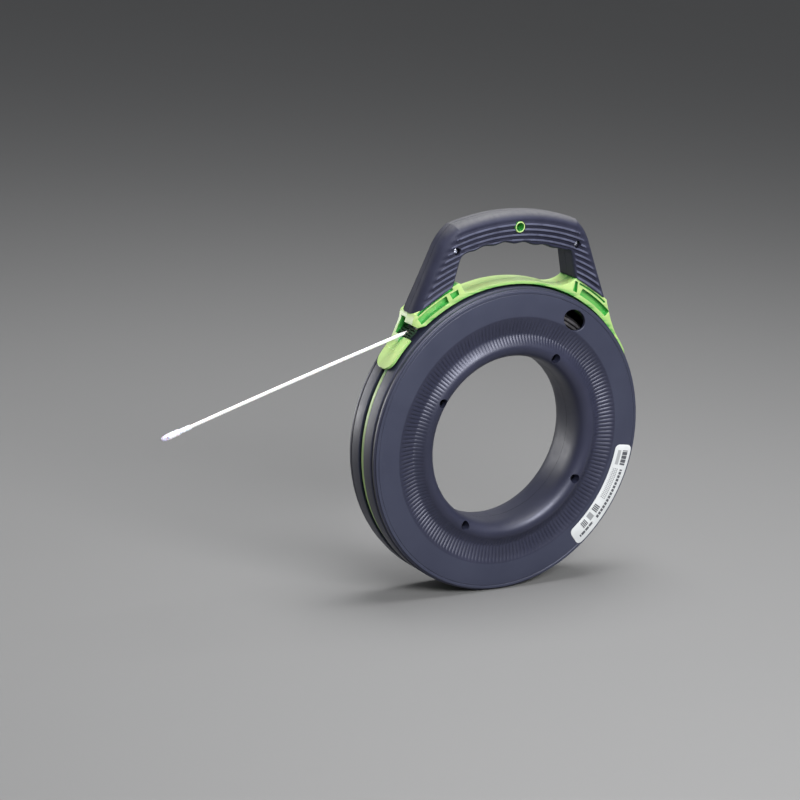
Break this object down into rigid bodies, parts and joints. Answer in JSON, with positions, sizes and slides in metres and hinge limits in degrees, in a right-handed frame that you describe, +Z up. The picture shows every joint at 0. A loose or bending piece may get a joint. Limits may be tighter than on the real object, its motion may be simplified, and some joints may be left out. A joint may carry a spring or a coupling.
{
  "type": "fish tape reel",
  "caption": "Round fish tape winder case with a ribbed cove and open hub, turning on a ring under an arched carrying handle, with the tape led out of a side nozzle.",
  "frame": {"origin": "middle of the rear crest flat that the reel rests on when it lies on its back, straight above the case axis; the case centre is at (0, -0.0273, -0.0936)", "axes": "+Z up through the middle of the handle, the case's axis along Y with the front face looking towards -Y, the tape leaving towards -X"},
  "size_m": [0.516, 0.0546, 0.3774],
  "materials": {
    "case_polymer": "satin dark navy charcoal moulded polymer",
    "frame_polymer": "satin lime green moulded polymer",
    "grip_rubber": "dark charcoal overmoulded rubber",
    "guide_polymer": "dark green moulded insert",
    "screw_steel": "zinc plated steel",
    "clip_steel": "bent spring steel",
    "label_film": "white printed film",
    "tape_rod": "white glass-fibre rod in a smooth sheath",
    "tip_nylon": "white moulded nylon"
  },
  "bodies": {
    "handle": {"frame_front_half": "frame_polymer", "frame_rear_half": "frame_polymer", "grip_front_half": "grip_rubber", "grip_rear_half": "grip_rubber", "hang_eyelet": "frame_polymer", "guide_ring": "frame_polymer", "tape_guide": "guide_polymer", "grip_screw_1": "screw_steel", "grip_screw_2": "screw_steel", "foot_screw_1": "screw_steel", "foot_screw_2": "screw_steel"},
    "case": {"case_front_half": "case_polymer", "case_rear_half": "case_polymer", "case_screw_1": "screw_steel", "case_screw_2": "screw_steel", "case_screw_3": "screw_steel", "case_screw_4": "screw_steel", "tape_coil": "tape_rod", "tape_anchor_clip": "clip_steel", "anchor_screw": "screw_steel", "case_label": "label_film"},
    "tape": {"tape_leader": "tape_rod", "tape_ferrule": "tip_nylon", "tape_tip": "tip_nylon"}
  },
  "joints": [
    {"name": "case_spin", "type": "hinge", "parent": "handle", "child": "case", "pos_m": [0, -0.0273, -0.0936], "axis": [0, 1, 0], "continuous": true},
    {"name": "tape_feed", "type": "slide", "parent": "handle", "child": "tape", "axis": [-0.9511, 0, -0.309], "range_m": [-0.06, 0.02]}
  ]
}
